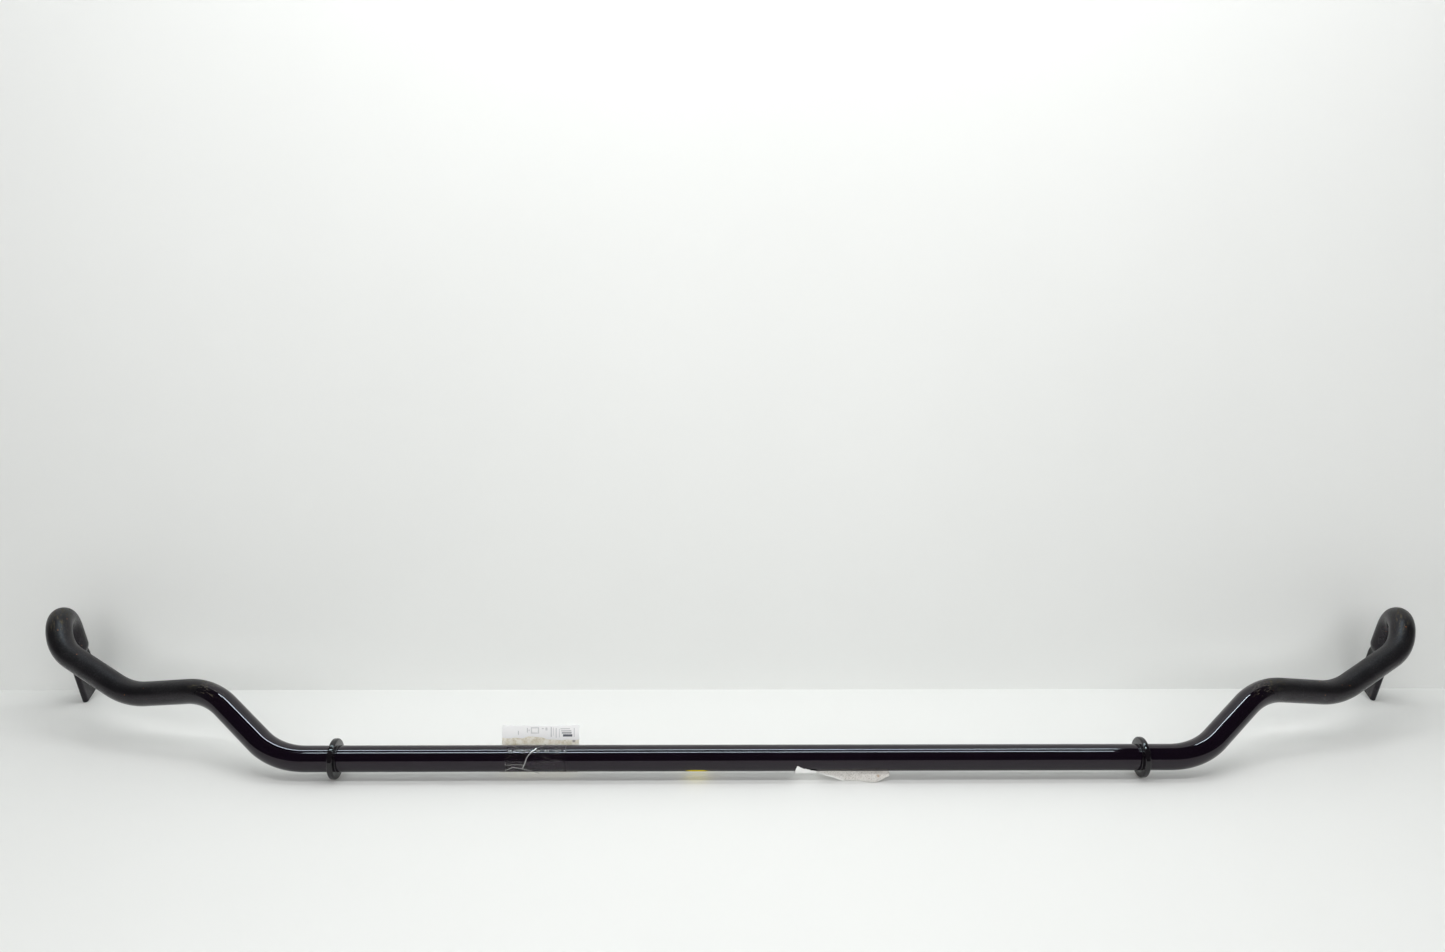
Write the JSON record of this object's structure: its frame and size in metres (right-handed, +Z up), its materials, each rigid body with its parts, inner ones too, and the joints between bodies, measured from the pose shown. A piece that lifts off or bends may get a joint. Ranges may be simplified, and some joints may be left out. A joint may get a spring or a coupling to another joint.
{
  "type": "sway bar",
  "caption": "Bare car sway bar: a straight round tube with stop collars, two cranked and hooked arms, and flattened pierced ends for drop links.",
  "frame": {"origin": "middle of the straight centre section, on the tube's axis, about which the bar twists in use", "axes": "+X along the centre section to the right end, +Y back towards the arms' ends, +Z up as the bar lies on a table"},
  "size_m": [1.2736, 0.2144, 0.103],
  "materials": {
    "bar_paint": "gloss black paint on steel tube, satin and dusty on the arms",
    "collar_paint": "gloss black paint on steel",
    "clear_tape": "clear glossy packing tape, wrinkled",
    "label_paper": null,
    "sticker_paper": "torn, soiled white sticker paper"
  },
  "bodies": {
    "root": {"stabilizer_bar": "bar_paint", "left_stop_collar": "collar_paint", "right_stop_collar": "collar_paint", "clear_tape_wrap": "clear_tape", "paper_label": "label_paper", "torn_label": "sticker_paper"}
  },
  "joints": []
}
